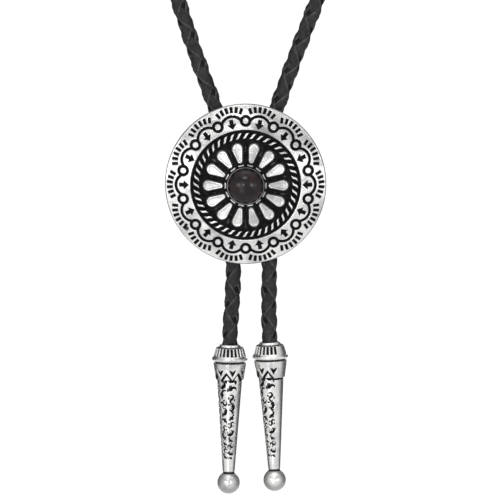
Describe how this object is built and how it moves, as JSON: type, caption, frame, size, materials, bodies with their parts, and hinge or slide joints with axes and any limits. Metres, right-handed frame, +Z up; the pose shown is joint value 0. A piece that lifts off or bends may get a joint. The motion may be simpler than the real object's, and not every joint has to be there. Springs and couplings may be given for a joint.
{
  "type": "bolo tie",
  "caption": "Braided leather bolo tie worn as a neck loop, with a domed cast silver disc, a dark cabochon, a back slide and cast metal tips.",
  "frame": {"origin": "at the nape, on the centre line of the cord where the loop hangs on the neck", "axes": "+Z up, +X to the right of somebody who looks at the tie, and the disc faces -Y"},
  "size_m": [0.1456, 0.1392, 0.3779],
  "materials": {
    "antique_silver": "cast silver-coloured metal, polished on the high relief, blackened in the recesses",
    "plain_metal": "plain satin metal",
    "braided_leather": "black four-strand braid with a soft satin sheen",
    "dark_stone": "polished dark red-black stone"
  },
  "bodies": {
    "root": {"concho": "antique_silver", "cabochon": "dark_stone", "slide_clasp": "plain_metal", "cord_neck_loop": "braided_leather", "cord_tail_left": "braided_leather", "cord_tail_right": "braided_leather", "tip_left": "antique_silver", "tip_right": "antique_silver"}
  },
  "joints": []
}
